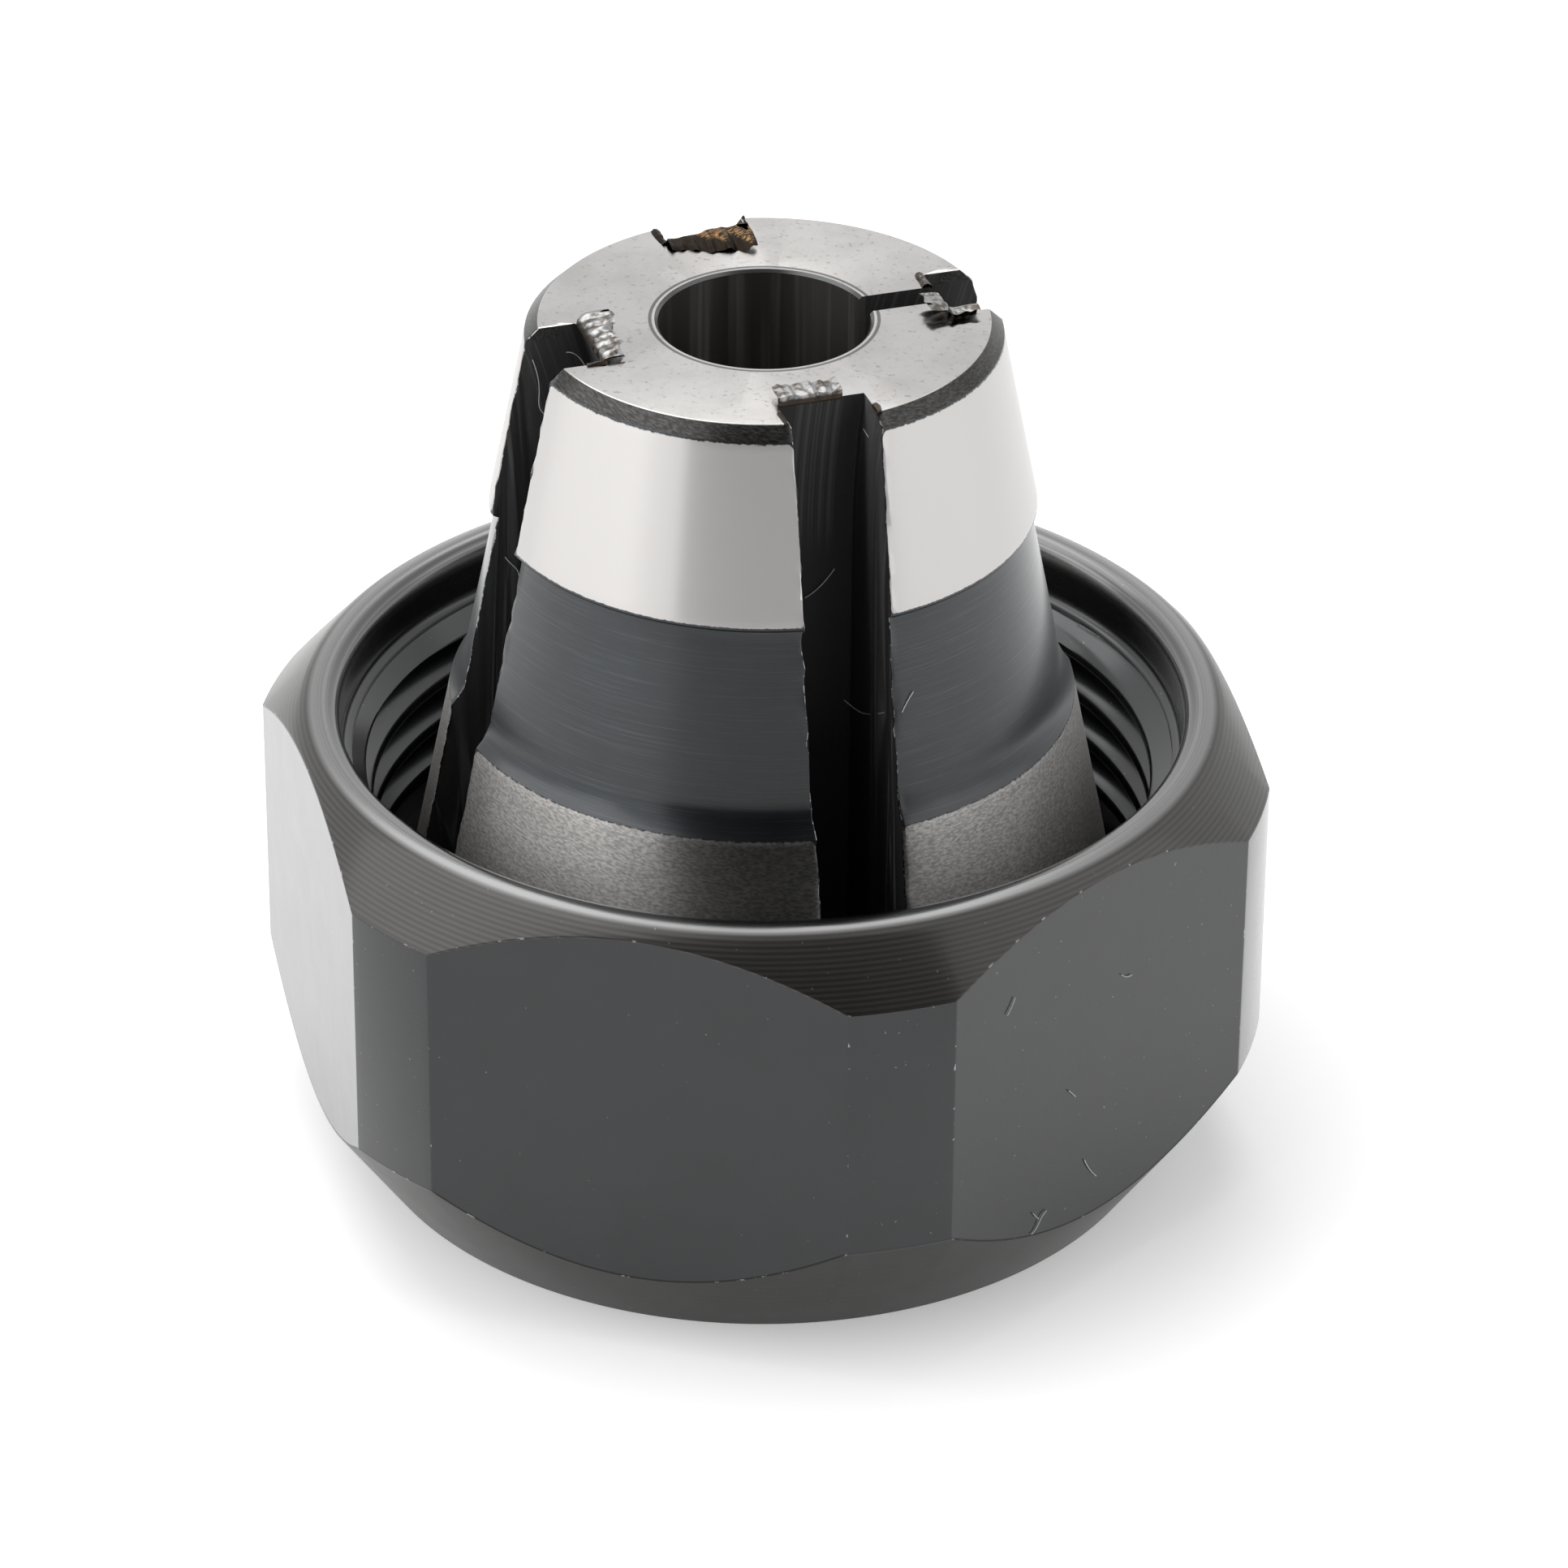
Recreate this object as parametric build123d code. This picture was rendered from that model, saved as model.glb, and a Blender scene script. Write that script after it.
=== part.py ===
"""A quarter-inch router collet held captive in its hexagonal nut.

The nut stands on its front face, the face that looks at the cutter in use. The
collet's narrow end points up, along +Z, as it would enter the spindle. Both are
turned about Z, and the origin is at the middle of the nut's front face.
"""
import os
from math import radians, sin, tan

from build123d import *

# Collet nut: a round blank with six milled flats, and a cone at its front
across_flats = 28.575
corner_rise = 1.3625
flat_wall = 1.5875
nut_height = 14.75
nose_wall = 2.37
nose_cone_height = 4.5

# Nut mouth: a rounded rim, a plain counterbore, and the chamfer into the thread
rear_chamfer_angle = 47.8
rim_width = 1.01
rim_outer_round = 0.9
rim_inner_round = 0.52
counterbore_clearance = 0.2
counterbore_depth = 1.78
counterbore_fillet = 0.3

# Nut thread, 25.4 mm inside the wall under each flat: its minor diameter is bored
# here, and it runs out into a groove
thread_pitch = 25.4 / 18
thread_minor_factor = 1.0825
lead_in_inset = 0.14
runout_clearance = 0.2
runout_width = 1.2

# Collet: one long taper whose middle is turned back, so that its two ends bear
bore_diameter = 6.35
collet_length = 27.25
collet_front_z = 0.3
taper_half_angle = 11.3
taper_thread_gap = 0.6
taper_edge_round = 0.2
nose_chamfer_height = 0.4
nose_chamfer_width = 0.42
nose_bore_break = 0.09
nose_band_length = 5.65
nose_band_round = 0.12
relief_length = 6.35
relief_depth = 0.27
relief_step_height = 0.12
relief_runout_length = 0.83

# Front of the collet: a cone that the nut pushes, and a spigot for the ring
seat_half_angle = 45.0
seat_margin = 0.3
spigot_diameter = 16.8
spigot_chamfer = 0.3

# Milled grooves leave thin webs round the bore, and the first is slit right through.
# The round cutter leaves more of the web towards the nose, where it runs out
groove_count = 4
groove_width = 2.66
first_groove_angle = 32.4
web_thickness = 1.315
groove_runout_length = 5.4
groove_runout_rise = 0.9
slit_width = 1.0

# Retaining ring: an open spring ring in the spigot's groove, below the nut's lip
ring_thickness = 0.9
ring_inset = 1.0
ring_hold = 0.9
ring_groove_depth = 0.8
ring_opening_angle = 34.0
ring_corner_round = 0.15

# Nut front: the lip between seat and ring, and the recess that the ring sits in
lip_height = 0.95
recess_clearance = 0.7
recess_chamfer = 0.4

# Running clearances, and how far the collet can rise before its ring meets the lip
seat_clearance = 0.05
spigot_clearance = 0.2
ring_bore_clearance = 0.08
ring_side_clearance = 0.05
axial_float = 0.5

# Radii that follow, from the bore outwards
bore_radius = bore_diameter / 2
spigot_radius = spigot_diameter / 2
lip_radius = spigot_radius + spigot_clearance
ring_radius = lip_radius + ring_hold
recess_radius = ring_radius + recess_clearance
nose_radius = recess_radius + nose_wall
thread_radius = across_flats / 2 - flat_wall
thread_minor_radius = thread_radius - thread_pitch * thread_minor_factor / 2
taper_large_radius = thread_minor_radius - taper_thread_gap
blank_radius = across_flats / 2 + corner_rise

# Heights that follow, from the nut's front face upwards
ring_top_z = ring_inset + ring_thickness
recess_depth = ring_top_z + axial_float
lip_top_z = recess_depth + lip_height
seat_slope = tan(radians(seat_half_angle))
seat_gap_z = seat_clearance / sin(radians(seat_half_angle))
spigot_top_z = lip_top_z + seat_gap_z - spigot_clearance / seat_slope
taper_large_z = spigot_top_z + (taper_large_radius - spigot_radius) / seat_slope
collet_top_z = collet_front_z + collet_length


def taper_radius(z):
    """The radius of the collet's long taper at height z."""
    return taper_large_radius - (z - taper_large_z) * tan(radians(taper_half_angle))


def section(points):
    """A closed outline in the XZ plane, from its corners as radius and height."""
    return make_face(Polyline([(r, 0, z) for r, z in points], close=True))


def rounded(outline, point, radius):
    """The outline with one corner, given as radius and height, rounded off."""
    r, z = point
    corner = outline.vertices().sort_by_distance((r, 0, z))[0]
    return fillet(corner, radius)


def collet_nut():
    """The hexagonal nut, with its front face down and its threaded mouth up."""
    counterbore_radius = thread_radius + counterbore_clearance
    rim_radius = counterbore_radius + rim_width
    chamfer_height = (blank_radius - rim_radius) * tan(radians(rear_chamfer_angle))
    ledge_z = nut_height - counterbore_depth
    lead_in_radius = thread_radius - lead_in_inset
    lead_in_end_z = ledge_z - (lead_in_radius - thread_minor_radius)
    seat_top_radius = taper_large_radius + seat_margin
    seat_top_z = lip_top_z + (seat_top_radius - lip_radius) / seat_slope
    thread_end_z = seat_top_z + runout_width
    runout_radius = thread_radius + runout_clearance
    rim_edge = (rim_radius, nut_height)
    mouth_edge = (counterbore_radius, nut_height)
    mouth_floor = (counterbore_radius, ledge_z)
    outline = section([
        (recess_radius + recess_chamfer, 0),
        (nose_radius, 0),
        (blank_radius, nose_cone_height),
        (blank_radius, nut_height - chamfer_height),
        rim_edge,
        mouth_edge,
        mouth_floor,
        (lead_in_radius, ledge_z),
        (thread_minor_radius, lead_in_end_z),
        (thread_minor_radius, thread_end_z),
        (runout_radius, thread_end_z),
        (runout_radius, seat_top_z),
        (seat_top_radius, seat_top_z),
        (lip_radius, lip_top_z),
        (lip_radius, recess_depth),
        (recess_radius, recess_depth),
        (recess_radius, recess_chamfer),
    ])
    rim_left = rim_width - rim_inner_round
    widest_outer_round = 0.98 * rim_left / tan(radians(rear_chamfer_angle / 2))
    outline = rounded(outline, rim_edge, min(rim_outer_round, widest_outer_round))
    outline = rounded(outline, mouth_edge, rim_inner_round)
    outline = rounded(outline, mouth_floor, counterbore_fillet)
    hexagon = RegularPolygon(across_flats / 2, 6, major_radius=False)
    return revolve(outline, Axis.Z) & extrude(hexagon, nut_height)


def collet_blank():
    """The collet as it is turned, before its grooves are milled."""
    band_top_z = collet_top_z - nose_chamfer_height
    band_end_z = band_top_z - nose_band_length
    relief_top_z = band_end_z - relief_step_height
    relief_end_z = band_end_z - relief_length
    runout_z = relief_end_z + relief_runout_length
    groove_top_z = ring_top_z + ring_side_clearance
    groove_bottom_z = ring_inset - ring_side_clearance
    groove_radius = spigot_radius - ring_groove_depth
    relief_top = (taper_radius(relief_top_z) - relief_depth, 0, relief_top_z)
    relief_end = (taper_radius(runout_z) - relief_depth, 0, runout_z)
    lower_band_top = (taper_radius(relief_end_z), 0, relief_end_z)
    relief_direction = Vector(*relief_end) - Vector(*relief_top)
    band_edge = (taper_radius(band_end_z), band_end_z)
    large_edge = (taper_large_radius, taper_large_z)
    upper = Polyline(
        (bore_radius, 0, collet_top_z - nose_bore_break),
        (bore_radius + nose_bore_break, 0, collet_top_z),
        (taper_radius(band_top_z) - nose_chamfer_width, 0, collet_top_z),
        (taper_radius(band_top_z), 0, band_top_z),
        (band_edge[0], 0, band_edge[1]),
        relief_top,
        relief_end,
    )
    runout = TangentArc(relief_end, lower_band_top, tangent=relief_direction)
    lower = Polyline(
        lower_band_top,
        (large_edge[0], 0, large_edge[1]),
        (spigot_radius, 0, spigot_top_z),
        (spigot_radius, 0, groove_top_z),
        (groove_radius, 0, groove_top_z),
        (groove_radius, 0, groove_bottom_z),
        (spigot_radius, 0, groove_bottom_z),
        (spigot_radius, 0, collet_front_z + spigot_chamfer),
        (spigot_radius - spigot_chamfer, 0, collet_front_z),
        (bore_radius + spigot_chamfer, 0, collet_front_z),
        (bore_radius, 0, collet_front_z + spigot_chamfer),
        (bore_radius, 0, collet_top_z - nose_bore_break),
    )
    outline = make_face(upper + runout + lower)
    outline = rounded(outline, band_edge, nose_band_round)
    outline = rounded(outline, large_edge, taper_edge_round)
    return revolve(outline, Axis.Z)


def collet():
    """The collet with its four grooves, and the slit that lets it close."""
    body = collet_blank()
    floor_distance = bore_radius + web_thickness
    runout_start = (floor_distance, 0, collet_top_z - groove_runout_length)
    runout_end = (floor_distance + groove_runout_rise, 0, collet_top_z)
    runout = TangentArc(runout_start, runout_end, tangent=(0, 0, 1))
    straight = Polyline(
        runout_end,
        (taper_large_radius + groove_runout_rise, 0, collet_top_z),
        (taper_large_radius + groove_runout_rise, 0, 0),
        (floor_distance, 0, 0),
        runout_start,
    )
    groove = extrude(make_face(runout + straight), groove_width / 2, dir=(0, 1, 0), both=True)
    for number in range(groove_count):
        body -= Rot(0, 0, first_groove_angle + number * 360 / groove_count) * groove
    slit = Box(runout_end[0], slit_width, collet_top_z, align=(Align.MIN, Align.CENTER, Align.MIN))
    return body - Rot(0, 0, first_groove_angle) * slit


def retaining_ring():
    """The open spring ring, with its opening turned away from the slit."""
    inner_radius = spigot_radius - ring_groove_depth + ring_bore_clearance
    outline = section([
        (inner_radius, ring_inset),
        (ring_radius, ring_inset),
        (ring_radius, ring_top_z),
        (inner_radius, ring_top_z),
    ])
    outline = fillet(outline.vertices(), ring_corner_round)
    closed_angle = 360 - ring_opening_angle
    first_end_angle = first_groove_angle + 180 + ring_opening_angle / 2
    return Rot(0, 0, first_end_angle) * revolve(outline, Axis.Z, revolution_arc=closed_angle)


os.makedirs("parts", exist_ok=True)
export_step(collet_nut(), "parts/collet_nut.step")
export_step(collet(), "parts/collet.step")
export_step(retaining_ring(), "parts/retaining_ring.step")
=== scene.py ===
from math import acos, asin, cos, degrees, hypot, pi, radians, sin, tan

import bmesh
import bpy
from bmesh.types import BMEdge, BMVert
from mathutils import Matrix, Vector, noise


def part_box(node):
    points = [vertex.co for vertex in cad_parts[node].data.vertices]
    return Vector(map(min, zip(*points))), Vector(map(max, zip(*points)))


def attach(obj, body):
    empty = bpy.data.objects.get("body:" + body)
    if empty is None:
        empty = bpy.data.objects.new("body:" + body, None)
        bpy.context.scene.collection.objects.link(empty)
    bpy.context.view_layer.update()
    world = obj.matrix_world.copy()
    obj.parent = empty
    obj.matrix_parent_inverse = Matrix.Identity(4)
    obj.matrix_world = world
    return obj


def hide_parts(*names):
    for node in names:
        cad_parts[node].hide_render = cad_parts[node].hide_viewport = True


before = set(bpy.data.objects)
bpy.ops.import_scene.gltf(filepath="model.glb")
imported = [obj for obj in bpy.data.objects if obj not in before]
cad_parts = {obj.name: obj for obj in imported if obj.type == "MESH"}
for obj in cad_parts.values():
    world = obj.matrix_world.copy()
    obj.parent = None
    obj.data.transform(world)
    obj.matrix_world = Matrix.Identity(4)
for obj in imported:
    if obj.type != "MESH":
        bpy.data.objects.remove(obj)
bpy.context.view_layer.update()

# The collet nut: turned from steel bar, six flats milled on it, its mouth threaded,
# and the whole blackened in hot oxide salts. It stands on its front face here, and
# the collet hangs in it by a retaining ring.
millimetre = 0.001
nut_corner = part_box("collet_nut")[1] / millimetre
blank_radius = nut_corner.x
flat_distance = nut_corner.y
nut_height = nut_corner.z
rear_chamfer_slope = tan(radians(47.8))
rim_radius = 13.91
rim_outer_round = 0.9
rim_inner_round = 0.52
counterbore_radius = 12.9
counterbore_round = 0.3
ledge_z = nut_height - 1.78
ledge_inner_radius = 12.59
lead_in_radius = 12.56
nose_radius = 12.57
nose_round = 0.06
nose_cone_height = 4.5
recess_radius = 10.2
# 0.01 mm deeper than in the CAD, so that the ring clears it at the top of its float
recess_depth = 2.41
recess_chamfer = 0.4
lip_radius = 8.6
lip_top_z = 3.35
seat_radius = 11.636
seat_top_z = lip_top_z + seat_radius - lip_radius
runout_z = seat_top_z + 1.2
edge_wear = 0.03
worn_edge_angle = radians(20)
round_step = 11
flat_steps = 40
strip_steps = 10
merge_distance = 0.003
fine_merge_distance = 0.001
fewest_flat_corners = 30
thread_radius = 12.7
thread_pitch = 25.4 / 18
thread_minor_radius = thread_radius - 1.0825 / 2 * thread_pitch
thread_crest = thread_pitch / 4
thread_crest_round = 0.16
thread_root = thread_pitch / 8
thread_root_round = 0.1
thread_phase_z = 0.774
thread_start_z = thread_phase_z + 3.5 * thread_pitch
thread_turns = 6
longest_thread_edge = 0.25
thread_steps = 240
run_in_slope = 0.6


def add_outline(mesh, points, closed=False):
    """Edges in the XZ plane through points of radius, height and corner rounding."""
    corners = []
    for r, z, rounding in points:
        corners.append(mesh.verts.new((r, 0, z)))
    for pair in zip(corners, corners[1:]):
        mesh.edges.new(pair)
    if closed:
        mesh.edges.new((corners[-1], corners[0]))
    for before, here, after, corner in zip(points, points[1:], points[2:], corners[1:]):
        rounding = here[2]
        if rounding:
            turn = (Vector(here[:2]) - Vector(before[:2])).angle(Vector(after[:2]) - Vector(here[:2]))
            segments = max(2, round(degrees(turn) / round_step))
            bmesh.ops.bevel(
                mesh, geom=[corner], offset=rounding * tan(turn / 2), offset_type="OFFSET",
                segments=segments, profile=0.5, affect="VERTICES", material=-1,
            )


def turn_about_axis(mesh, geom, angle, steps, rise=0.0, close=False):
    """Spin geometry about the part's axis, rising by rise in all."""
    return bmesh.ops.spin(
        mesh, geom=geom, cent=(0, 0, 0), axis=(0, 0, 1), dvec=(0, 0, rise / steps), angle=angle,
        steps=steps, use_merge=close,
    )["geom_last"]


def repeat_about_axis(mesh, count, angle, rise):
    """Copies of the whole mesh, each turned and raised by one step more, then joined."""
    first = mesh.verts[:] + mesh.edges[:] + mesh.faces[:]
    for number in range(1, count):
        turned = Matrix.Rotation(number * angle, 3, "Z")
        copied = bmesh.ops.duplicate(mesh, geom=first)["geom"]
        moved = [item for item in copied if isinstance(item, BMVert)]
        bmesh.ops.rotate(mesh, verts=moved, cent=(0, 0, 0), matrix=turned)
        bmesh.ops.translate(mesh, verts=moved, vec=(0, 0, number * rise))
    bmesh.ops.remove_doubles(mesh, verts=mesh.verts, dist=merge_distance)


def with_edges(faces):
    """The faces with their edges and vertices, as the bisect operator wants them."""
    geom = set(faces)
    for face in faces:
        geom.update(face.edges)
        geom.update(face.verts)
    return list(geom)


def add_object(name, data):
    """An object with that data, in the scene."""
    made = bpy.data.objects.new(name, data)
    bpy.context.scene.collection.objects.link(made)
    return made


def finish_piece(mesh, name, body, material, sharp=35):
    """Turn a bmesh in millimetres into a finished object in metres that rides on a body."""
    bmesh.ops.scale(mesh, vec=(millimetre, millimetre, millimetre), verts=mesh.verts)
    data = bpy.data.meshes.new(name)
    mesh.to_mesh(data)
    mesh.free()
    data.shade_smooth()
    data.set_sharp_from_angle(angle=radians(sharp))
    data.materials.append(material)
    piece = add_object(name, data)
    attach(piece, body)
    return piece


half_flat_angle = acos(flat_distance / blank_radius)
nut = bmesh.new()
worn = nut.faces.layers.float.new("worn")
milled = nut.faces.layers.float.new("milled")
add_outline(nut, [
    (ledge_inner_radius, ledge_z, 0),
    (counterbore_radius, ledge_z, counterbore_round),
    (counterbore_radius, nut_height, rim_inner_round),
    (rim_radius, nut_height, rim_outer_round),
    (blank_radius, nut_height - (blank_radius - rim_radius) * rear_chamfer_slope, 0),
    (blank_radius, nose_cone_height, 0),
    (nose_radius, 0, nose_round),
    (recess_radius + recess_chamfer, 0, 0),
    (recess_radius, recess_chamfer, 0),
    (recess_radius, recess_depth, 0),
    (lip_radius, recess_depth, 0),
    (lip_radius, lip_top_z, 0),
    (seat_radius, seat_top_z, 0),
    (counterbore_radius, seat_top_z, 0),
    (counterbore_radius, runout_z, 0),
])
first_corner = Matrix.Rotation(-pi / 2 - half_flat_angle, 3, "Z")
bmesh.ops.rotate(nut, verts=nut.verts, cent=(0, 0, 0), matrix=first_corner)
strip_start = turn_about_axis(nut, nut.verts[:] + nut.edges[:], 2 * half_flat_angle, flat_steps)
turn_about_axis(nut, strip_start, pi / 3 - 2 * half_flat_angle, strip_steps)
repeat_about_axis(nut, 6, pi / 3, 0)
for number in range(6):
    outwards = Matrix.Rotation(number * pi / 3, 3, "Z") @ Vector((0, -1, 0))
    cut = bmesh.ops.bisect_plane(
        nut, geom=with_edges(nut.faces), dist=merge_distance, plane_co=outwards * flat_distance,
        plane_no=outwards, clear_outer=True,
    )["geom_cut"]
    bmesh.ops.edgeloop_fill(nut, edges=[item for item in cut if isinstance(item, BMEdge)])
bmesh.ops.recalc_face_normals(nut, faces=nut.faces)
outer_edges = []
for edge in nut.edges:
    outside = all(hypot(*vert.co.xy) > counterbore_radius + edge_wear for vert in edge.verts)
    if outside and edge.is_manifold and edge.calc_face_angle() > worn_edge_angle:
        outer_edges.append(edge)
worn_faces = bmesh.ops.bevel(
    nut, geom=outer_edges, offset=edge_wear, offset_type="OFFSET", segments=3, profile=0.5,
    affect="EDGES", material=-1,
)["faces"]
for face in worn_faces:
    face[worn] = 1.0
flats = [face for face in nut.faces if len(face.verts) > fewest_flat_corners]
bmesh.ops.inset_region(nut, faces=flats, thickness=edge_wear, use_even_offset=True)
flats = [face for face in nut.faces if len(face.verts) > fewest_flat_corners]
for face in flats:
    face[milled] = 1.0

screw = bmesh.new()
flank = (thread_pitch - thread_crest - thread_root) / 2
flank_start_z = thread_start_z + thread_root / 2
add_outline(screw, [
    (thread_radius, thread_start_z, 0),
    (thread_radius, flank_start_z, thread_root_round),
    (thread_minor_radius, flank_start_z + flank, thread_crest_round),
    (thread_minor_radius, flank_start_z + flank + thread_crest, thread_crest_round),
    (thread_radius, thread_start_z + thread_pitch - thread_root / 2, thread_root_round),
    (thread_radius, thread_start_z + thread_pitch, 0),
])
long_edges = [edge for edge in screw.edges if edge.calc_length() > longest_thread_edge]
bmesh.ops.subdivide_edges(screw, edges=long_edges, cuts=4)
turn_about_axis(screw, screw.verts[:] + screw.edges[:], 2 * pi, thread_steps, thread_pitch)
repeat_about_axis(screw, thread_turns, 0, thread_pitch)
for level, side in ((ledge_z, 1), (runout_z, -1)):
    bmesh.ops.bisect_plane(
        screw, geom=with_edges(screw.faces), dist=fine_merge_distance, plane_co=(0, 0, level),
        plane_no=(0, 0, side), clear_outer=True,
    )
for vert in screw.verts:
    r = hypot(*vert.co.xy)
    below = ledge_z - vert.co.z
    wanted = min(max(r, lead_in_radius - below), ledge_inner_radius + run_in_slope * below)
    vert.co.xy *= wanted / r
screw_mesh = bpy.data.meshes.new("screw")
screw.to_mesh(screw_mesh)
screw.free()
nut.from_mesh(screw_mesh)
for level in (ledge_z, runout_z):
    rim = []
    for edge in nut.edges:
        if edge.is_boundary and all(abs(vert.co.z - level) < 0.01 for vert in edge.verts):
            rim.append(edge)
    bmesh.ops.bridge_loops(nut, edges=rim)
bmesh.ops.recalc_face_normals(nut, faces=nut.faces)


class Signal:
    """One socket of a material. Python's operators on it add Math nodes."""

    def __init__(self, socket):
        self.socket = socket

    def node(self, kind, settings, values, output=0):
        """A new node: its settings are made first, then its sockets' values or links."""
        tree = self.socket.id_data
        made = tree.nodes.new(kind)
        for name, value in settings.items():
            setattr(made, name, value)
        for name, value in values.items():
            if isinstance(value, Signal):
                tree.links.new(value.socket, made.inputs[name])
            else:
                made.inputs[name].default_value = value
        return Signal(made.outputs[output])

    def maths(self, operation, *others):
        return self.node("ShaderNodeMath", {"operation": operation}, dict(enumerate((self, *others))))

    def __add__(self, other):
        return self.maths("ADD", other)

    def __radd__(self, other):
        return self.maths("ADD", other)

    def __sub__(self, other):
        return self.maths("SUBTRACT", other)

    def __rsub__(self, other):
        return self.maths("MULTIPLY_ADD", -1.0, other)

    def __mul__(self, other):
        return self.maths("MULTIPLY", other)

    def __rmul__(self, other):
        return self.maths("MULTIPLY", other)

    def __truediv__(self, other):
        return self.maths("DIVIDE", other)

    def __pow__(self, other):
        return self.maths("POWER", other)

    def above(self, low, high):
        """Rises smoothly from 0 at low to 1 at high."""
        return self.node(
            "ShaderNodeMapRange", {"interpolation_type": "SMOOTHSTEP"},
            {"Value": self, "From Min": low, "From Max": high},
        )

    def tint(self, first, second):
        """The first colour where this is 0, the second where it is 1."""
        return self.node("ShaderNodeMix", {"data_type": "RGBA"}, {0: self, 6: first, 7: second}, 2)


def grey(level, blue=0.0):
    """A neutral colour, slightly blue where asked."""
    return (level * (1 - blue), level, level * (1 + blue), 1.0)


def new_material(name):
    """An empty material, and its place in millimetres as a signal to build on."""
    material = bpy.data.materials.new(name)
    material.use_nodes = True
    tree = material.node_tree
    tree.nodes.clear()
    texture = tree.nodes.new("ShaderNodeTexCoord")
    metres = Signal(texture.outputs["Object"])
    scaling = {0: metres, "Scale": 1 / millimetre}
    return material, metres.node("ShaderNodeVectorMath", {"operation": "SCALE"}, scaling)


def along_axes(place):
    """The x, y and z of a place."""
    split = place.node("ShaderNodeSeparateXYZ", {}, {0: place}).socket.node
    return [Signal(output) for output in split.outputs]


def vector_of(x, y, z):
    """A vector of three values, of which the first is a signal."""
    return x.node("ShaderNodeCombineXYZ", {}, {0: x, 1: y, 2: z})


def noise_at(place, scale, detail=2.0, roughness=0.5):
    """Soft noise round 0.5, with scale features in a millimetre."""
    values = {"Vector": place, "Scale": scale, "Detail": detail, "Roughness": roughness}
    return place.node("ShaderNodeTexNoise", {}, values)


def show_surface(material, shader):
    """Link a shader to the material's output."""
    tree = material.node_tree
    output = tree.nodes.new("ShaderNodeOutputMaterial")
    tree.links.new(shader.socket, output.inputs["Surface"])


def close_material(material, colour, metallic, roughness, height, depth, constants):
    """The shader behind a finish, with a bump whose depth is in millimetres."""
    bump = height.node("ShaderNodeBump", {}, {"Height": height, "Distance": depth * millimetre})
    values = {"Base Color": colour, "Metallic": metallic, "Roughness": roughness, "Normal": bump}
    show_surface(material, height.node("ShaderNodeBsdfPrincipled", {}, {**values, **constants}))


feed_pitch = 0.24
chamfer_start_z = 12.78
nut_finish, place = new_material("black_oxide_steel")
x, y, z = along_axes(place)
radius = (x * x + y * y) ** 0.5
milled_here = place.node("ShaderNodeAttribute", {"attribute_name": "milled"}, {}, 2)
worn_here = place.node("ShaderNodeAttribute", {"attribute_name": "worn"}, {}, 2)
ring_place = vector_of(radius, z, 0.0)
turned_lines = noise_at(ring_place, 5.0, 3.0, 0.7)
feed_lines = ((radius - z) * (2 * pi / feed_pitch)).maths("SINE") * 0.5 + 0.5
chamfer_here = z.above(chamfer_start_z, chamfer_start_z + 0.08) * radius.above(13.6, 13.9)
chamfer_here = chamfer_here * (1 - milled_here)
rim_here = z.above(14.0, 14.4) * radius.above(12.8, 12.9) * (1 - radius.above(13.75, 13.95))
above_cone = z.above(nose_cone_height - 0.1, nose_cone_height + 0.1)
cone_here = (1 - above_cone) * (1 - milled_here)
streaks = noise_at(vector_of(x, y, z * 0.05), 6.0, 2.0)
cloud = noise_at(place, 0.6, 3.0)
height = turned_lines * (1 - milled_here) + streaks * milled_here * 0.4
height = height + feed_lines * chamfer_here * 0.6
specks = noise_at(place, 7.0, 1.0).above(0.76, 0.8)
nicks = noise_at(place, 3.0, 3.0).above(0.62, 0.68)
colour = cloud.tint(grey(0.008, 0.1), grey(0.015, 0.1))
colour = chamfer_here.tint(colour, (0.056, 0.054, 0.051, 1))
colour = (cone_here * 0.7).tint(colour, (0.022, 0.021, 0.018, 1))
colour = (chamfer_here * feed_lines * 0.5).tint(colour, grey(0.012))
rim_colour = turned_lines.above(0.35, 0.6).tint(grey(0.06), grey(0.17))
colour = rim_here.tint(colour, rim_colour)
colour = (worn_here * nicks * 0.6).tint(colour, grey(0.4))
colour = (specks * 0.3).tint(colour, grey(0.3))
roughness = 0.32 + cloud * 0.08 + chamfer_here * 0.14 + cone_here * 0.12 - rim_here * 0.12
coat = 1 - cone_here * 0.7 - chamfer_here * 0.4
close_material(
    nut_finish, colour, 1.0, roughness, height, 0.004,
    {"Coat Weight": coat, "Coat Roughness": 0.18, "Coat IOR": 1.5},
)

nut_piece = finish_piece(nut, "nut_turned", "nut", nut_finish)
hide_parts("collet_nut")

# The collet: turned from spring steel, hardened and blackened, then its taper ground
# bright on two bands. Four grooves are milled along it, and the first is slit through
# to the bore, so that it closes round the shank.
collet_top_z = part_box("collet")[1].z / millimetre
collet_bottom_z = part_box("collet")[0].z / millimetre
bore_radius = 3.175
bore_break = 0.09
bore_chamfer = 0.3
bore_skin_radius = 3.3
taper_slope = tan(radians(11.3))
large_radius = 11.336
large_z = 6.157
nose_chamfer_height = 0.4
nose_chamfer_width = 0.42
band_end_z = 21.5
relief_depth = 0.27
relief_top_z = 21.38
relief_corner = (9.199, 15.501)
relief_end_z = 15.15
spigot_radius = 8.4
spigot_chamfer = 0.3
spigot_top_z = 3.221
ring_groove_radius = 7.6
ring_groove_low_z = 0.95
ring_groove_high_z = 1.95
groove_half_width = 1.33
groove_floor = 4.49
groove_runout_length = 5.4
groove_runout_rise = 0.9
runout_steps = 12
slit_half_width = 0.5
slit_start = 2.5
first_groove_angle = radians(32.4)
collet_steps = 288
longest_collet_edge = 0.4
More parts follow.
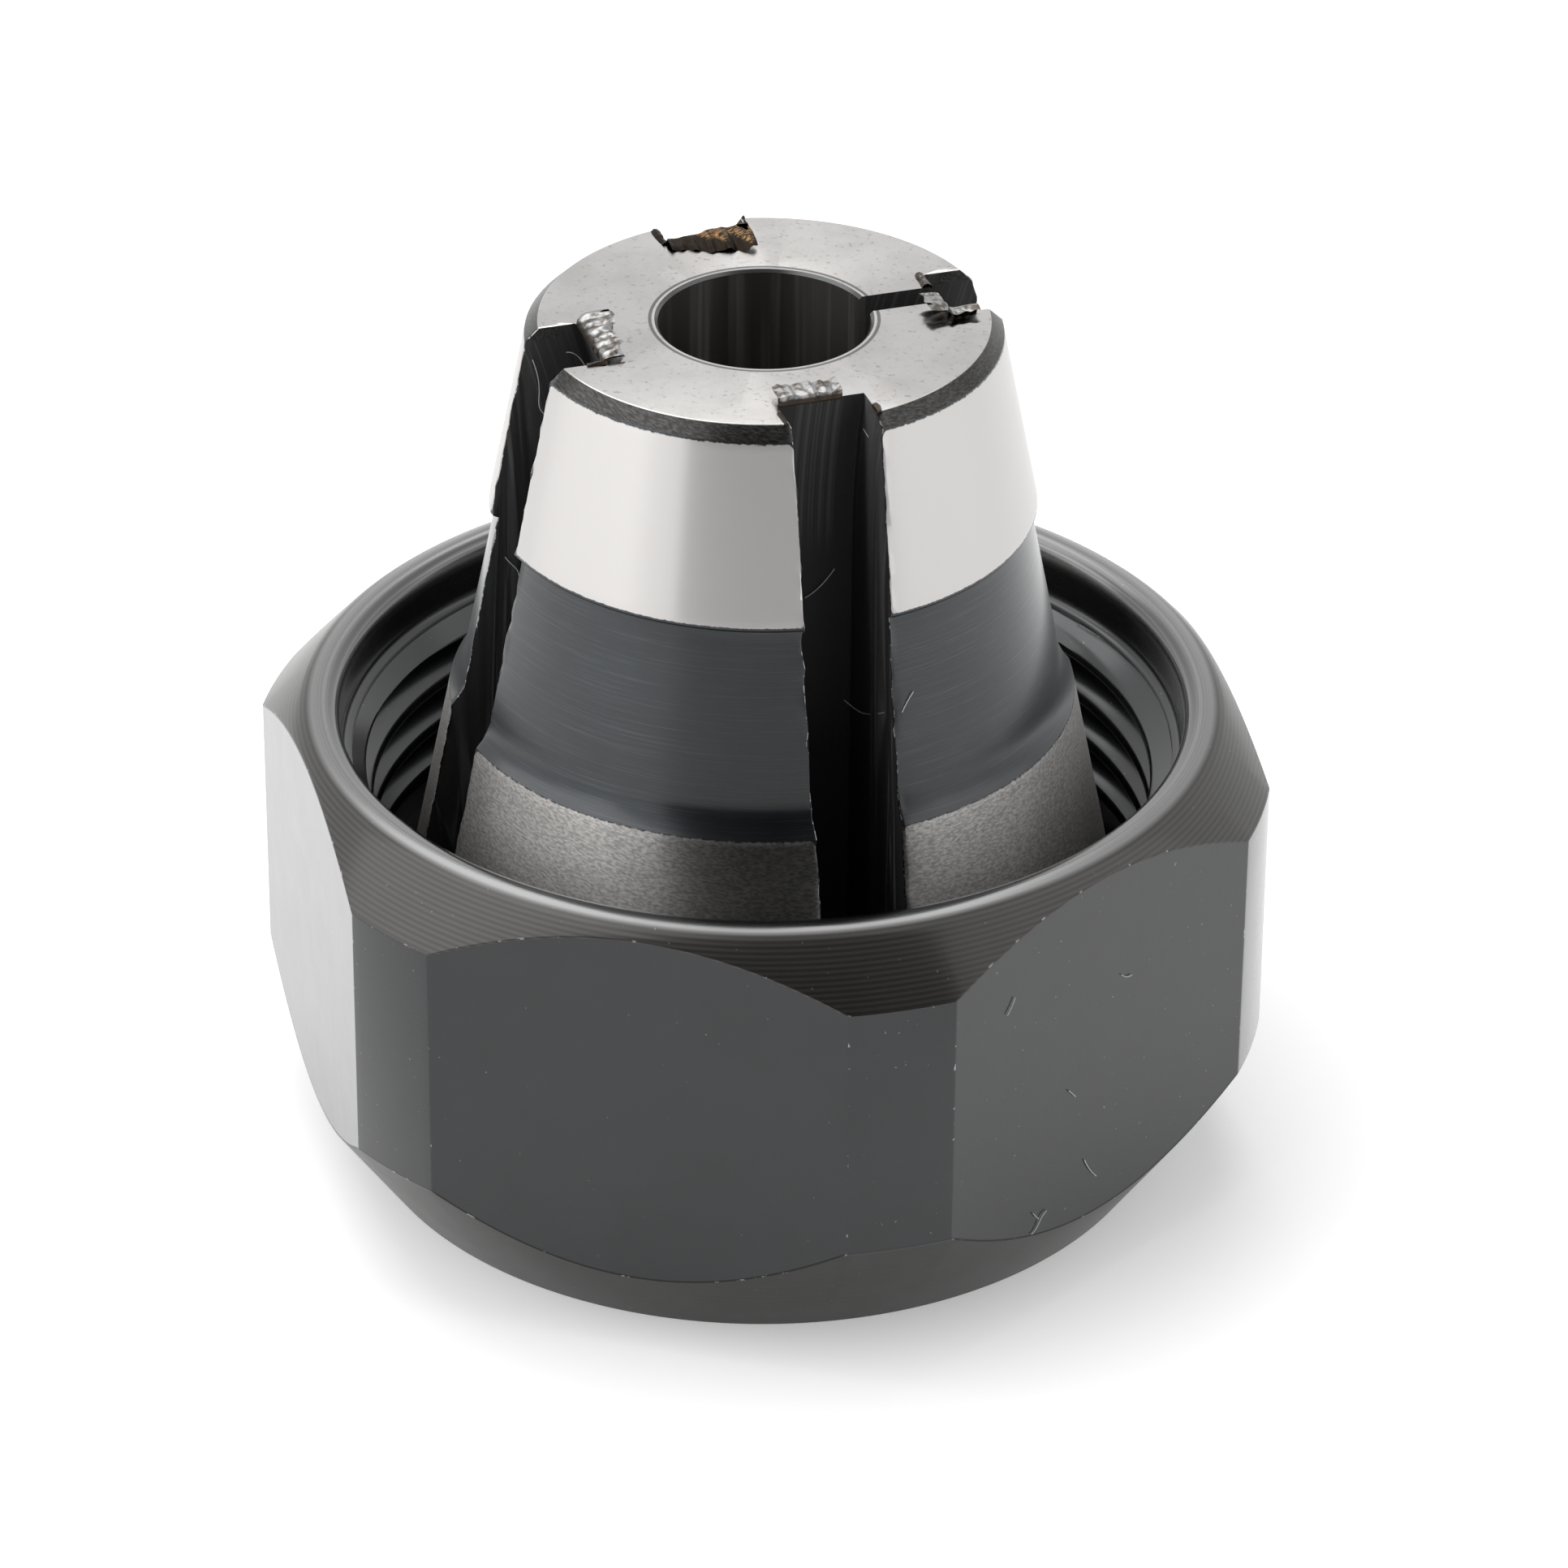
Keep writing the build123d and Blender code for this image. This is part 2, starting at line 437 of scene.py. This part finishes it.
collet_edge_step = 0.3
outside_reach = 20
plane_tolerance = 0.006
fewest_wall_corners = 100
corner_round = 0.3
lip_bevel = 0.03
lip_wave = 2.2
lip_raggedness = 0.07
burr_step = 0.06
burr_root = 0.06
burr_thickness = 0.05
burr_raggedness = 0.035
burr_height = 0.35


def taper_radius(z):
    """The radius of the collet's long taper at height z."""
    return large_radius - (z - large_z) * taper_slope


band_top_z = collet_top_z - nose_chamfer_height
collet = bmesh.new()
lip = collet.faces.layers.float.new("lip")
collet.faces.layers.float.new("burr")
cut_face = collet.faces.layers.float.new("groove")
add_outline(collet, [
    (bore_radius, bore_chamfer + collet_bottom_z, 0),
    (bore_radius + bore_chamfer, collet_bottom_z, 0),
    (spigot_radius - spigot_chamfer, collet_bottom_z, 0),
    (spigot_radius, collet_bottom_z + spigot_chamfer, 0.1),
    (spigot_radius, ring_groove_low_z, 0),
    (ring_groove_radius, ring_groove_low_z, 0),
    (ring_groove_radius, ring_groove_high_z, 0),
    (spigot_radius, ring_groove_high_z, 0),
    (spigot_radius, spigot_top_z, 0),
    (large_radius, large_z, 0.2),
    (taper_radius(relief_end_z), relief_end_z, 0.03),
    (*relief_corner, 1.6),
    (taper_radius(relief_top_z) - relief_depth, relief_top_z, 0.04),
    (taper_radius(band_end_z), band_end_z, 0.12),
    (taper_radius(band_top_z), band_top_z, 0.03),
    (taper_radius(band_top_z) - nose_chamfer_width, collet_top_z, 0.03),
    (bore_radius + bore_break, collet_top_z, 0.01),
    (bore_radius, collet_top_z - bore_break, 0),
], closed=True)
for edge in collet.edges[:]:
    middle = (edge.verts[0].co + edge.verts[1].co) / 2
    if middle.x > spigot_radius - 1.4 and edge.calc_length() > longest_collet_edge:
        cuts = int(edge.calc_length() / collet_edge_step)
        bmesh.ops.subdivide_edges(collet, edges=[edge], cuts=cuts)
turn_about_axis(collet, collet.verts[:] + collet.edges[:], 2 * pi, collet_steps, close=True)
bmesh.ops.remove_doubles(collet, verts=collet.verts, dist=fine_merge_distance)


def on_plane(edge, direction, distance):
    """Whether an edge lies on the plane at that distance along a direction."""
    return all(abs(vert.co.dot(direction) - distance) < plane_tolerance for vert in edge.verts)


def faces_within(mesh, along, low, high, across, half_width):
    """The faces whose middles lie in a slot along one direction."""
    found = []
    for face in mesh.faces:
        centre = face.calc_center_median()
        if low < centre.dot(along) < high and abs(centre.dot(across)) < half_width:
            found.append(face)
    return found


runout_radius = (groove_runout_length ** 2 + groove_runout_rise ** 2) / (2 * groove_runout_rise)
runout_angle = asin(groove_runout_length / runout_radius)
groove_top_floor = groove_floor + groove_runout_rise
for number in range(4):
    turn = Matrix.Rotation(number * pi / 2, 3, "Z")
    along = turn @ Vector((1, 0, 0))
    across = turn @ Vector((0, 1, 0))
    near_half_width = 3 * groove_half_width
    for side in (-1, 1):
        near = faces_within(collet, along, bore_skin_radius, outside_reach, across, near_half_width)
        bmesh.ops.bisect_plane(
            collet, geom=with_edges(near), dist=merge_distance,
            plane_co=across * side * groove_half_width, plane_no=across,
        )
    for distance, upper in ((groove_floor, False), (groove_top_floor, True)):
        inside = faces_within(collet, along, bore_skin_radius, outside_reach, across, groove_half_width)
        inside = [face for face in inside if (face.calc_center_median().z > relief_end_z) == upper]
        bmesh.ops.bisect_plane(
            collet, geom=with_edges(inside), dist=merge_distance, plane_co=along * distance,
            plane_no=along,
        )
        removed = faces_within(collet, along, distance, outside_reach, across, groove_half_width)
        removed = [face for face in removed if (face.calc_center_median().z > relief_end_z) == upper]
        bmesh.ops.delete(collet, geom=removed, context="FACES")
    lip_edges = [edge for edge in collet.edges if edge.is_boundary]
    floor_edges = [edge for edge in lip_edges if on_plane(edge, along, groove_floor)]
    top_edges = [edge for edge in lip_edges if on_plane(edge, along, groove_top_floor)]
    cutter_axis = along * (groove_floor + runout_radius)
    cutter_axis.z = collet_top_z - groove_runout_length
    runout_end = bmesh.ops.spin(
        collet, geom=top_edges, cent=cutter_axis, axis=across, angle=-runout_angle, steps=runout_steps,
    )["geom_last"]
    floor_edges += [item for item in runout_end if isinstance(item, BMEdge)]
    lip_edges = [edge for edge in collet.edges if edge.is_boundary]
    for side in (-1, 1):
        wall_edges = [edge for edge in lip_edges if on_plane(edge, across, side * groove_half_width)]
        corners = set()
        for edge in floor_edges:
            for vert in edge.verts:
                if abs(vert.co.dot(across) - side * groove_half_width) < plane_tolerance:
                    corners.add(vert)
        corner_edge = collet.edges.new(tuple(corners))
        floor_edges.append(corner_edge)
        bmesh.ops.edgeloop_fill(collet, edges=wall_edges + [corner_edge])
    bmesh.ops.edgeloop_fill(collet, edges=floor_edges)

along = Vector((1, 0, 0))
across = Vector((0, 1, 0))
slit_end = groove_top_floor + 0.1
for side in (-1, 1):
    near = faces_within(collet, along, slit_start, slit_end, across, 2 * slit_half_width)
    bmesh.ops.bisect_plane(
        collet, geom=with_edges(near), dist=merge_distance, plane_co=across * side * slit_half_width,
        plane_no=across,
    )
removed = faces_within(collet, along, slit_start, slit_end, across, slit_half_width)
bmesh.ops.delete(collet, geom=removed, context="FACES")
for side in (-1, 1):
    slit_edges = [edge for edge in collet.edges if edge.is_boundary]
    slit_edges = [edge for edge in slit_edges if on_plane(edge, across, side * slit_half_width)]
    bmesh.ops.edgeloop_fill(collet, edges=slit_edges)
bmesh.ops.recalc_face_normals(collet, faces=collet.faces)

for face in collet.faces:
    centre = face.calc_center_median()
    in_groove = min(abs(centre.x), abs(centre.y)) < groove_half_width + 0.001
    if in_groove and abs(face.normal.z) < 0.4 and hypot(*centre.xy) > bore_skin_radius:
        face[cut_face] = 1.0

lips = []
for wall in collet.faces:
    if len(wall.verts) > fewest_wall_corners and abs(wall.normal.z) < 0.1:
        for edge in wall.edges:
            middle = (edge.verts[0].co + edge.verts[1].co) / 2
            if hypot(*middle.xy) > groove_top_floor + 0.4:
                lips.append(edge)
lip_faces = bmesh.ops.bevel(
    collet, geom=lips, offset=lip_bevel, offset_type="OFFSET", segments=2, profile=0.5,
    affect="EDGES", material=-1,
)["faces"]
for face in lip_faces:
    face[lip] = 1.0
    face[cut_face] = 0.0
lip_verts = set()
for face in lip_faces:
    lip_verts.update(face.verts)
for vert in lip_verts:
    if vert.co.z < collet_top_z - 0.1:
        spot = vert.co * lip_wave
        drift = Vector((noise.noise(spot), noise.noise(spot + Vector((7, 3, 1))), 0))
        vert.co += drift * lip_raggedness


def add_curl(mesh, groove, ends, growth, turns, last_share=1.0, painted_light_level=1.0):
    """A curl of torn steel, drawn out from an edge of a groove's mouth as it bends. Its painted light
    level is 1 for a curl painted as lit, and lower for one painted in shade.
    """
    start = Vector((*ends[0], collet_top_z - burr_root))
    finish = Vector((*ends[1], collet_top_z - burr_root))
    strip = bmesh.new()
    torn = strip.faces.layers.float.new("burr")
    edge = strip.edges.new((strip.verts.new(start), strip.verts.new(finish)))
    length = (finish - start).length
    bmesh.ops.subdivide_edges(strip, edges=[edge], cuts=int(length / burr_step))
    hinge = (finish - start) / length
    growth = Vector((0, 0, growth))
    row = strip.edges[:]
    for step, turn in enumerate(turns):
        growth = Matrix.Rotation(radians(turn), 3, hinge) @ growth
        drawn = bmesh.ops.extrude_edge_only(strip, edges=row)["geom"]
        moved = [item for item in drawn if isinstance(item, BMVert)]
        row = [edge for edge in strip.edges if edge.verts[0] in moved and edge.verts[1] in moved]
        for vert in moved:
            travelled = (vert.co - start).dot(hinge)
            share = 1 + (last_share - 1) * max(travelled / length, 0.0)
            edge_share = 1 + 0.4 * noise.noise(Vector((travelled * 1.5, step * 0.2, groove + length)))
            vert.co += growth * share * edge_share
            ridge = noise.noise(Vector((travelled * 4.5, step * 0.25, groove * 3 + length)))
            vert.co += growth.cross(hinge).normalized() * ridge * burr_raggedness
    bmesh.ops.solidify(strip, geom=strip.faces[:], thickness=burr_thickness)
    for face in strip.faces:
        face[torn] = painted_light_level
    for vert in strip.verts:
        vert.co.z = min(vert.co.z, collet_top_z + burr_height)
    bmesh.ops.recalc_face_normals(strip, faces=strip.faces)
    turned = Matrix.Rotation(groove * pi / 2, 3, "Z")
    bmesh.ops.rotate(strip, verts=strip.verts, cent=(0, 0, 0), matrix=turned)
    strip_mesh = bpy.data.meshes.new("curl")
    strip.to_mesh(strip_mesh)
    strip.free()
    mesh.from_mesh(strip_mesh)


edge = groove_top_floor
side = groove_half_width
add_curl(collet, 3, ((edge, -1.3), (edge, 0.65)), 0.13, (0, -5, -65, -20, 0, 5, 5))
add_curl(collet, 3, ((5.9, -side), (6.6, -side)), 0.09, (15, 50, 60, 30))
add_curl(collet, 3, ((6.2, side), (6.7, side)), 0.08, (-20, -60, -40))
add_curl(collet, 2, ((edge, -side), (edge, side)), 0.14, (-15, -25, -30, -15, 0, 5, 0, 0), 0.65)
add_curl(collet, 2, ((5.3, side), (5.9, side)), 0.08, (-25, -60, -30))
add_curl(collet, 0, ((edge, -0.45), (edge, -1.6)), 0.17, (0, 30, 40, 15, -5, -10))
add_curl(collet, 0, ((5.3, -side), (6.2, -side)), 0.16, (-15, 30, 50, 30, 20))
add_curl(collet, 0, ((edge, 0.5), (edge, side)), 0.1, (-20, -40, -40, -30))
# The curls on groove 1 get the painted light level 0.4, which the material paints as shade.
add_curl(collet, 1, ((edge, -1.2), (edge, side)), 0.2, (50, -20, -70, -55, -10, 0, 0, 0, 0), 0.5, 0.4)
add_curl(collet, 1, ((5.5, side), (6.5, side)), 0.09, (-20, -50, -40), 1.0, 0.4)
add_curl(collet, 1, ((5.9, -side), (6.6, -side)), 0.05, (10, 20, 10), 1.0, 0.4)
bmesh.ops.rotate(
    collet, verts=collet.verts, cent=(0, 0, 0), matrix=Matrix.Rotation(first_groove_angle, 3, "Z")
)

steel_finish, place = new_material("ground_steel")
turned_place = place.node(
    "ShaderNodeMapping", {"vector_type": "TEXTURE"},
    {"Vector": place, "Rotation": (0, 0, first_groove_angle)},
)
x, y, z = along_axes(turned_place)
radius = (x * x + y * y) ** 0.5
arc = y.maths("ARCTAN2", x) * radius
x = x.maths("ABSOLUTE")
y = y.maths("ABSOLUTE")
off_middle = x.maths("MINIMUM", y)
outwards = x.maths("MAXIMUM", y)
burr_and_painted_light = place.node("ShaderNodeAttribute", {"attribute_name": "burr"}, {}, 2)
burr_here = burr_and_painted_light.above(0.1, 0.3)
burr_ridge_z = collet_top_z + 0.16
top_here = z.above(collet_top_z - 0.03, collet_top_z - 0.01) * radius.above(3.25, 3.26)
groove_here = place.node("ShaderNodeAttribute", {"attribute_name": "groove"}, {}, 2)
lip_here = place.node("ShaderNodeAttribute", {"attribute_name": "lip"}, {}, 2)
ring_place = vector_of(radius, z, 0.0)
skin_place = vector_of(arc, z, radius)
turned_lines = noise_at(ring_place, 5.0, 3.0, 0.7)
fine_lines = noise_at(vector_of(arc * 0.014, z, radius), 20.0, 3.0, 0.7)
grain = noise_at(vector_of(arc * 0.45, z, radius), 14.0, 2.0, 0.6)
cloud = noise_at(place, 0.6, 3.0)
ragged = noise_at(place, 9.0, 2.0) * 0.12
band_edge_z = band_end_z + 0.08 + ragged * 0.5
above_band = (z + ragged).above(band_top_z - 0.02, band_top_z + 0.03)
band_here = (z - band_edge_z).above(-0.01, 0.02) * (1 - above_band)
above_low_band = (z + ragged).above(relief_end_z, relief_end_z + 0.05)
low_band_here = (1 - above_low_band) * radius.above(9.3, 9.35)
nose_chamfer_here = z.above(band_top_z, band_top_z + 0.02) * radius.above(6.0, 6.1)
bore_rim_z = collet_top_z - bore_break
bore_rim_here = z.above(bore_rim_z - 0.02, bore_rim_z) * (1 - radius.above(3.26, 3.28))
bore_here = (1 - radius.above(3.36, 3.38)) * (1 - bore_rim_here)
from_wall = (corner_round - (off_middle - groove_half_width)).maths("MAXIMUM", 0.0)
from_top = (corner_round - (band_top_z - z)).maths("MAXIMUM", 0.0)
from_end = (corner_round - (z - band_end_z)).maths("MAXIMUM", 0.0)
from_middle = (from_wall * from_wall + (from_top + from_end) ** 2) ** 0.5
past_corner = from_middle.above(corner_round - 0.03, corner_round)
band_here = band_here * (1 - past_corner * from_wall.above(0.0, 0.01))
from_edge = (corner_round - (relief_end_z - z)).maths("MAXIMUM", 0.0)
from_low_middle = (from_wall * from_wall + from_edge * from_edge) ** 0.5
past_low_corner = from_low_middle.above(corner_round - 0.03, corner_round)
low_band_here = low_band_here * (1 - past_low_corner * from_wall.above(0.0, 0.01))
ground_here = (band_here + low_band_here).maths("MINIMUM", 1.0) * radius.above(5.0, 5.1)
bright_here = (ground_here + top_here).maths("MINIMUM", 1.0) * (1 - groove_here)
dark = cloud.tint(grey(0.026, 0.12), grey(0.045, 0.12))
dark = (fine_lines.above(0.5, 0.72) * 0.3).tint(dark, grey(0.12, 0.05))
above_runout = (z - (collet_top_z - groove_runout_length)).maths("MAXIMUM", 0.0)
from_cutter = outwards - (groove_floor + runout_radius)
cutter_path = (above_runout * above_runout + from_cutter * from_cutter) ** 0.5
streaks = noise_at(vector_of(off_middle, cutter_path, 0.0), 5.5, 3.0, 0.7).above(0.5, 0.68)
groove_colour = (streaks * z.above(21.6, 23.5)).tint(grey(0.035), grey(0.08))
dark = groove_here.tint(dark, groove_colour)
bore_bands = noise_at(vector_of(arc, z * 0.03, 0.0), 1.1, 3.0, 0.6).above(0.5, 0.7)
dark = bore_here.tint(dark, bore_bands.tint((0.06, 0.058, 0.055, 1), (0.2, 0.195, 0.185, 1)))
dark = nose_chamfer_here.tint(dark, grain.above(0.35, 0.75).tint((0.02, 0.018, 0.015, 1), grey(0.07)))
bright = grain.above(0.3, 0.7).tint((0.35, 0.34, 0.33, 1), (0.64, 0.62, 0.6, 1))
bright = low_band_here.tint((0.56, 0.545, 0.535, 1), bright)
marks = noise_at(place, 5.0, 4.0, 0.7).above(0.56, 0.7) * 0.65 + cloud.above(0.35, 0.7) * 0.25 + 0.08
bright = (top_here * marks).tint(bright, (0.3, 0.285, 0.27, 1))
colour = bright_here.tint(dark, bright)
bore_line_here = radius.above(3.34, 3.36) * (1 - radius.above(3.44, 3.47)) * top_here
colour = (bore_rim_here + bore_line_here * 0.8).maths("MINIMUM", 1.0).tint(colour, grey(0.07))
sparks = noise_at(place, 6.0, 2.0).above(0.5, 0.6) * lip_here
colour = (sparks * 0.8).tint(colour, grey(0.55))
torn_colour = noise_at(place, 4.0, 3.0).above(0.35, 0.6).tint((0.09, 0.075, 0.062, 1), grey(0.34))
# Painted shade on the curls: below the ridge height their sides are painted dark brown, and above it
# their tops keep the torn steel's colour, as if lit.
painted_lit_top = (z + ragged).above(burr_ridge_z, burr_ridge_z + 0.08)
torn_steel_painted_light = painted_lit_top.tint((0.05, 0.04, 0.032, 1), torn_colour)
# Curls with a low painted light level get a painted-shade copy: dark brown, with an orange painted
# highlight in patches along their top.
back_curl_shade_and_highlight = (z + ragged).above(burr_ridge_z + 0.12, burr_ridge_z + 0.2)
back_curl_shade_and_highlight = back_curl_shade_and_highlight * noise_at(skin_place, 8.0, 2.0).above(0.42, 0.58)
back_curl_shade_and_highlight = (back_curl_shade_and_highlight * 0.8).tint((0.016, 0.012, 0.009, 1), (0.22, 0.13, 0.06, 1))
torn_steel_painted_light = burr_and_painted_light.above(0.6, 0.8).tint(back_curl_shade_and_highlight, torn_steel_painted_light)
colour = burr_here.tint(colour, torn_steel_painted_light)
roughness = 0.4 - bright_here * 0.1 - top_here * 0.14 + low_band_here * 0.03
roughness = roughness + groove_here * 0.2 - bore_here * 0.12 + burr_here * 0.1
height = turned_lines * (1 - bright_here) * 0.8 + fine_lines * 0.5 + grain * low_band_here * 0.9
metal = 1 - groove_here * 0.75 - bore_here * 0.5
coat = (1 - bright_here) * (1 - groove_here) * (1 - burr_here) * (0.8 - nose_chamfer_here * 0.4)
close_material(
    steel_finish, colour, metal, roughness, height, 0.004,
    {"Coat Weight": coat, "Coat Roughness": 0.2, "Anisotropic": 1.0, "Anisotropic Rotation": 0.25},
)
collet_piece = finish_piece(collet, "collet_body", "collet", steel_finish)
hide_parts("collet")

# The retaining ring: an open ring of round-cornered spring steel wire, snapped into
# the groove on the collet's spigot below the nut's lip. It is oiled and dark.
ring_finish, place = new_material("oiled_spring_steel")
x, y, z = along_axes(place)
radius = (x * x + y * y) ** 0.5
drawn_lines = noise_at(vector_of(radius, z, 0.0), 8.0, 2.0)
stain = noise_at(place, 0.8, 3.0)
colour = stain.tint(grey(0.12), grey(0.28))
close_material(ring_finish, colour, 1.0, 0.3 + stain * 0.15, drawn_lines, 0.003, {})
for material_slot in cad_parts["retaining_ring"].material_slots:
    material_slot.material = ring_finish

# Lint: a few hair-thin cotton fibres from a polishing cloth, which cling to one of the
# nut's flats and hang in the collet's grooves. They lie loose on the steel.
fibre_radius = 0.015
lint_finish, place = new_material("cotton_lint")
colour = noise_at(place, 2.0).tint(grey(0.4), grey(0.65))
roughness = noise_at(place, 1.0) * 0.1 + 0.7
close_material(lint_finish, colour, 0.0, roughness, noise_at(place, 9.0), 0.002, {})


def add_lint(name, body, fibres):
    """Thin fibres along smooth routes of points in millimetres, as one piece on a body."""
    routes = bpy.data.curves.new(name, "CURVE")
    routes.dimensions = "3D"
    routes.bevel_depth = fibre_radius * millimetre
    routes.bevel_resolution = 1
    routes.use_fill_caps = True
    routes.resolution_u = 6
    for fibre in fibres:
        route = routes.splines.new("NURBS")
        route.points.add(len(fibre) - 1)
        route.use_endpoint_u = True
        for point, spot in zip(route.points, fibre):
            point.co = (*(Vector(spot) * millimetre), 1.0)
    routed = bpy.data.objects.new("routes", routes)
    data = bpy.data.meshes.new_from_object(routed)
    data.materials.clear()
    data.materials.append(lint_finish)
    bpy.data.objects.remove(routed)
    lint = add_object(name, data)
    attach(lint, body)


add_lint("lint_on_nut", "nut", [
    [(10.96, -9.69, 3.03), (11.16, -9.33, 3.18), (11.12, -9.5, 3.5), (11.29, -9.12, 3.58)],
    [(11.12, -9.5, 3.5), (10.98, -9.65, 3.77)],
    [(10.46, -10.56, 11.88), (10.4, -10.68, 11.61), (10.3, -10.85, 11.41)],
    [(11.7, -8.41, 7.49), (11.86, -8.15, 7.15)],
    [(12.79, -6.5, 10.6), (12.92, -6.28, 10.34), (13.03, -6.1, 10.39)],
    [(12.1, -7.69, 4.63), (12.19, -7.55, 4.2), (12.38, -7.22, 3.79)],
])
add_lint("lint_on_collet", "collet", [
    [
        (-6.4, -2.65, 26.6), (-6.26, -2.55, 26.1), (-6.2, -2.5, 25.4), (-6.3, -2.6, 24.9),
        (-6.0, -2.5, 24.7),
    ],
    [(-5.52, -2.1, 26.7), (-5.26, -1.95, 26.7), (-5.1, -1.87, 26.4), (-5.0, -1.8, 26.1)],
    [
        (-7.6, -2.6, 20.2), (-7.3, -3.1, 20.15), (-7.0, -3.0, 19.7), (-6.75, -2.9, 19.5),
        (-6.85, -2.95, 18.9),
    ],
    [(3.38, -3.2, 16.75), (3.75, -3.5, 16.7), (4.1, -3.95, 16.8), (4.6, -4.75, 17.3), (5.2, -5.7, 18.0)],
    [(5.9, -6.3, 18.45), (6.0, -6.15, 18.75), (6.15, -5.95, 19.0)],
    [(2.32, -3.95, 20.51), (2.72, -3.66, 20.71), (3.08, -3.42, 21.33)],
    [(4.02, -3.86, 26.37), (4.15, -4.07, 26.34), (4.26, -4.24, 26.33)],
])

# The set: a pale floor, a white room, soft lights from behind and from both sides, and
# a black card on the camera's side that only reflections see, as metal is lit in a studio.
floor_half_size = 1.5
floor = bmesh.new()
bmesh.ops.create_grid(floor, x_segments=1, y_segments=1, size=floor_half_size)
floor_data = bpy.data.meshes.new("floor")
floor.to_mesh(floor_data)
floor.free()
floor_finish, place = new_material("white_floor")
light_path = place.node("ShaderNodeLightPath", {}, {}).socket.node.outputs
seen = Signal(light_path["Is Camera Ray"]) + Signal(light_path["Is Glossy Ray"])
seen = seen + Signal(light_path["Is Transmission Ray"])
paper = place.node("ShaderNodeBsdfDiffuse", {}, {"Color": grey(0.95)})
glow = place.node("ShaderNodeEmission", {}, {"Color": grey(1.0), "Strength": seen * 0.3})
show_surface(floor_finish, place.node("ShaderNodeAddShader", {}, {0: paper, 1: glow}))
floor_data.materials.append(floor_finish)
floor_object = add_object("floor", floor_data)

camera_azimuth = radians(-75.62)
camera_elevation = radians(30.71)
camera_roll = radians(0.45)
camera_distance = 0.2265
look_at = Vector((0.669, 0.171, 11.475)) * millimetre

card_radius = 0.3
card_foot = 0.001
card_height = 0.9
card_hole_radius = 0.03
card_start_azimuth = camera_azimuth - radians(34)
card_angle = radians(86)
card_steps = 24
card = bmesh.new()
add_outline(card, [
    (card_radius, card_foot, 0),
    (card_radius, card_height, 0),
    (card_hole_radius, card_height, 0),
])
card_start = Matrix.Rotation(card_start_azimuth, 3, "Z")
bmesh.ops.rotate(card, verts=card.verts, cent=(0, 0, 0), matrix=card_start)
turn_about_axis(card, card.verts[:] + card.edges[:], card_angle, card_steps)
card_data = bpy.data.meshes.new("black_card")
card.to_mesh(card_data)
card.free()
card_finish, place = new_material("black_card")
felt = place.node("ShaderNodeEmission", {}, {"Color": grey(1.0), "Strength": 0.02})
show_surface(card_finish, felt)
card_data.materials.append(card_finish)
card_object = add_object("black_card", card_data)
card_object.visible_camera = False
card_object.visible_diffuse = False
card_object.visible_shadow = False
card_object.visible_transmission = False


def add_softbox(name, azimuth, elevation, distance, size, power):
    """A square soft light that looks at the object."""
    lamp = bpy.data.lights.new(name, "AREA")
    lamp.shape = "SQUARE"
    lamp.size = size
    lamp.energy = power
    softbox = add_object(name, lamp)
    towards = Vector((cos(elevation) * cos(azimuth), cos(elevation) * sin(azimuth), sin(elevation)))
    softbox.location = towards * distance
    softbox.rotation_euler = towards.to_track_quat("Z", "Y").to_euler()


add_softbox("back_softbox", camera_azimuth + radians(200), radians(66), 0.7, 0.6, 2.3)
add_softbox("left_softbox", camera_azimuth - radians(80), radians(42), 0.6, 0.6, 1.8)
add_softbox("right_softbox", camera_azimuth + radians(85), radians(40), 0.6, 0.5, 0.45)

world = bpy.data.worlds.new("white_room")
bpy.context.scene.world = world
world.use_nodes = True
world.node_tree.nodes.clear()
path = Signal(world.node_tree.nodes.new("ShaderNodeLightPath").outputs["Is Camera Ray"])
seen = path + Signal(path.socket.node.outputs["Is Glossy Ray"])
seen = seen + Signal(path.socket.node.outputs["Is Transmission Ray"])
sky = path.node("ShaderNodeBackground", {}, {"Color": grey(1.0), "Strength": 0.5 + seen * 0.5})
world_output = world.node_tree.nodes.new("ShaderNodeOutputWorld")
world.node_tree.links.new(sky.socket, world_output.inputs["Surface"])

camera_data = bpy.data.cameras.new("camera")
camera_data.lens = 168.84
camera_data.sensor_width = 36.0
camera_data.clip_start = 0.01
camera_data.clip_end = 10.0
camera = add_object("camera", camera_data)
backwards = Vector((
    cos(camera_elevation) * cos(camera_azimuth), cos(camera_elevation) * sin(camera_azimuth),
    sin(camera_elevation),
))
level = Vector((0, 0, 1)).cross(backwards).normalized()
upright = backwards.cross(level)
right = level * cos(camera_roll) + upright * sin(camera_roll)
up = upright * cos(camera_roll) - level * sin(camera_roll)
stand = Matrix((right, up, backwards)).transposed().to_4x4()
stand.translation = look_at + backwards * camera_distance
camera.matrix_world = stand
bpy.context.scene.camera = camera
bpy.context.scene.view_settings.view_transform = "Standard"
